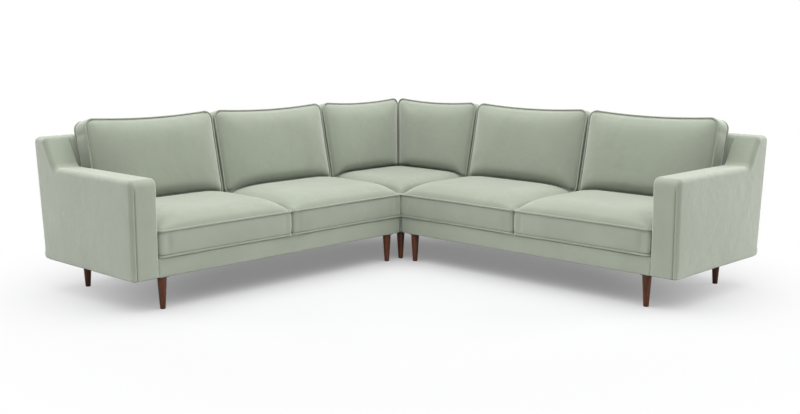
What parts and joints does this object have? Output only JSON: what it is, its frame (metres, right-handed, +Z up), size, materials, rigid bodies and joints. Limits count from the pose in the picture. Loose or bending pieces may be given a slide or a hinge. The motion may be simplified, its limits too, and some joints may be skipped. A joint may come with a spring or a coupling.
{
  "type": "sectional sofa",
  "caption": "L-shaped corner sofa in three hooked-together sections, with scooped arms, tapered wooden legs and loose boxed seat and back cushions with welted seams.",
  "frame": {"origin": "middle of the bounding box, on the floor under the feet", "axes": "+Z up; the left wing runs along -X with its back towards +Y, the right wing runs along -Y with its back towards +X, and the square corner is at +X +Y"},
  "size_m": [2.687, 2.687, 0.8786],
  "materials": {
    "sage_velvet": "matte",
    "walnut_legs": "satin",
    "frame_timber": "matte",
    "spring_steel": "satin",
    "zinc_steel": "satin",
    "deck_felt": "matte",
    "black_cloth": "matte"
  },
  "bodies": {
    "corner_section": {"corner_base_cover": "sage_velvet", "corner_seat_frame": "frame_timber", "corner_seat_springs": "spring_steel", "corner_deck": "deck_felt", "corner_left_back_cover": "sage_velvet", "corner_right_back_cover": "sage_velvet", "corner_back_frame": "frame_timber", "corner_back_straps": "black_cloth", "corner_dust_cloth": "black_cloth", "corner_leg_plates": "zinc_steel", "corner_brackets": "zinc_steel", "corner_leg_front": "walnut_legs", "corner_leg_left": "walnut_legs", "corner_leg_right": "walnut_legs", "corner_leg_rear": "walnut_legs"},
    "left_section": {"left_arm_cover": "sage_velvet", "left_arm_frame": "frame_timber", "left_base_cover": "sage_velvet", "left_seat_frame": "frame_timber", "left_seat_springs": "spring_steel", "left_deck": "deck_felt", "left_back_cover": "sage_velvet", "left_back_frame": "frame_timber", "left_back_straps": "black_cloth", "left_dust_cloth": "black_cloth", "left_leg_plates": "zinc_steel", "left_sockets": "zinc_steel", "left_leg_front_outer": "walnut_legs", "left_leg_front_inner": "walnut_legs", "left_leg_rear_outer": "walnut_legs", "left_leg_rear_inner": "walnut_legs"},
    "left_seat_outer_cushion": {"left_seat_outer": "sage_velvet"},
    "left_back_outer_cushion": {"left_back_outer": "sage_velvet"},
    "left_seat_inner_cushion": {"left_seat_inner": "sage_velvet"},
    "left_back_inner_cushion": {"left_back_inner": "sage_velvet"},
    "right_section": {"right_arm_cover": "sage_velvet", "right_arm_frame": "frame_timber", "right_base_cover": "sage_velvet", "right_seat_frame": "frame_timber", "right_seat_springs": "spring_steel", "right_deck": "deck_felt", "right_back_cover": "sage_velvet", "right_back_frame": "frame_timber", "right_back_straps": "black_cloth", "right_dust_cloth": "black_cloth", "right_leg_plates": "zinc_steel", "right_sockets": "zinc_steel", "right_leg_front_outer": "walnut_legs", "right_leg_front_inner": "walnut_legs", "right_leg_rear_outer": "walnut_legs", "right_leg_rear_inner": "walnut_legs"},
    "right_seat_outer_cushion": {"right_seat_outer": "sage_velvet"},
    "right_back_outer_cushion": {"right_back_outer": "sage_velvet"},
    "right_seat_inner_cushion": {"right_seat_inner": "sage_velvet"},
    "right_back_inner_cushion": {"right_back_inner": "sage_velvet"},
    "corner_seat_cushion": {"corner_seat": "sage_velvet"},
    "corner_back_left_cushion": {"corner_back_left": "sage_velvet"},
    "corner_back_right_cushion": {"corner_back_right": "sage_velvet"}
  },
  "joints": [
    {"name": "left_section_unhook", "type": "slide", "parent": "corner_section", "child": "left_section", "axis": [0, 0, 1], "range_m": [0, 0.05]},
    {"name": "left_seat_outer_lift", "type": "slide", "parent": "left_section", "child": "left_seat_outer_cushion", "axis": [0, 0, 1], "range_m": [0, 0.3]},
    {"name": "left_back_outer_lift", "type": "slide", "parent": "left_seat_outer_cushion", "child": "left_back_outer_cushion", "axis": [0, 0.2079, 0.9781], "range_m": [0, 0.3]},
    {"name": "left_seat_inner_lift", "type": "slide", "parent": "left_section", "child": "left_seat_inner_cushion", "axis": [0, 0, 1], "range_m": [0, 0.3]},
    {"name": "left_back_inner_lift", "type": "slide", "parent": "left_seat_inner_cushion", "child": "left_back_inner_cushion", "axis": [0, 0.2079, 0.9781], "range_m": [0, 0.3]},
    {"name": "right_section_unhook", "type": "slide", "parent": "corner_section", "child": "right_section", "axis": [0, 0, 1], "range_m": [0, 0.05]},
    {"name": "right_seat_outer_lift", "type": "slide", "parent": "right_section", "child": "right_seat_outer_cushion", "axis": [0, 0, 1], "range_m": [0, 0.3]},
    {"name": "right_back_outer_lift", "type": "slide", "parent": "right_seat_outer_cushion", "child": "right_back_outer_cushion", "axis": [0.2079, 0, 0.9781], "range_m": [0, 0.3]},
    {"name": "right_seat_inner_lift", "type": "slide", "parent": "right_section", "child": "right_seat_inner_cushion", "axis": [0, 0, 1], "range_m": [0, 0.3]},
    {"name": "right_back_inner_lift", "type": "slide", "parent": "right_seat_inner_cushion", "child": "right_back_inner_cushion", "axis": [0.2079, 0, 0.9781], "range_m": [0, 0.3]},
    {"name": "corner_seat_lift", "type": "slide", "parent": "corner_section", "child": "corner_seat_cushion", "axis": [0, 0, 1], "range_m": [0, 0.3]},
    {"name": "corner_back_left_lift", "type": "slide", "parent": "corner_seat_cushion", "child": "corner_back_left_cushion", "axis": [0, 0.2079, 0.9781], "range_m": [0, 0.3]},
    {"name": "corner_back_right_lift", "type": "slide", "parent": "corner_seat_cushion", "child": "corner_back_right_cushion", "axis": [0.2079, 0, 0.9781], "range_m": [0, 0.3]}
  ]
}
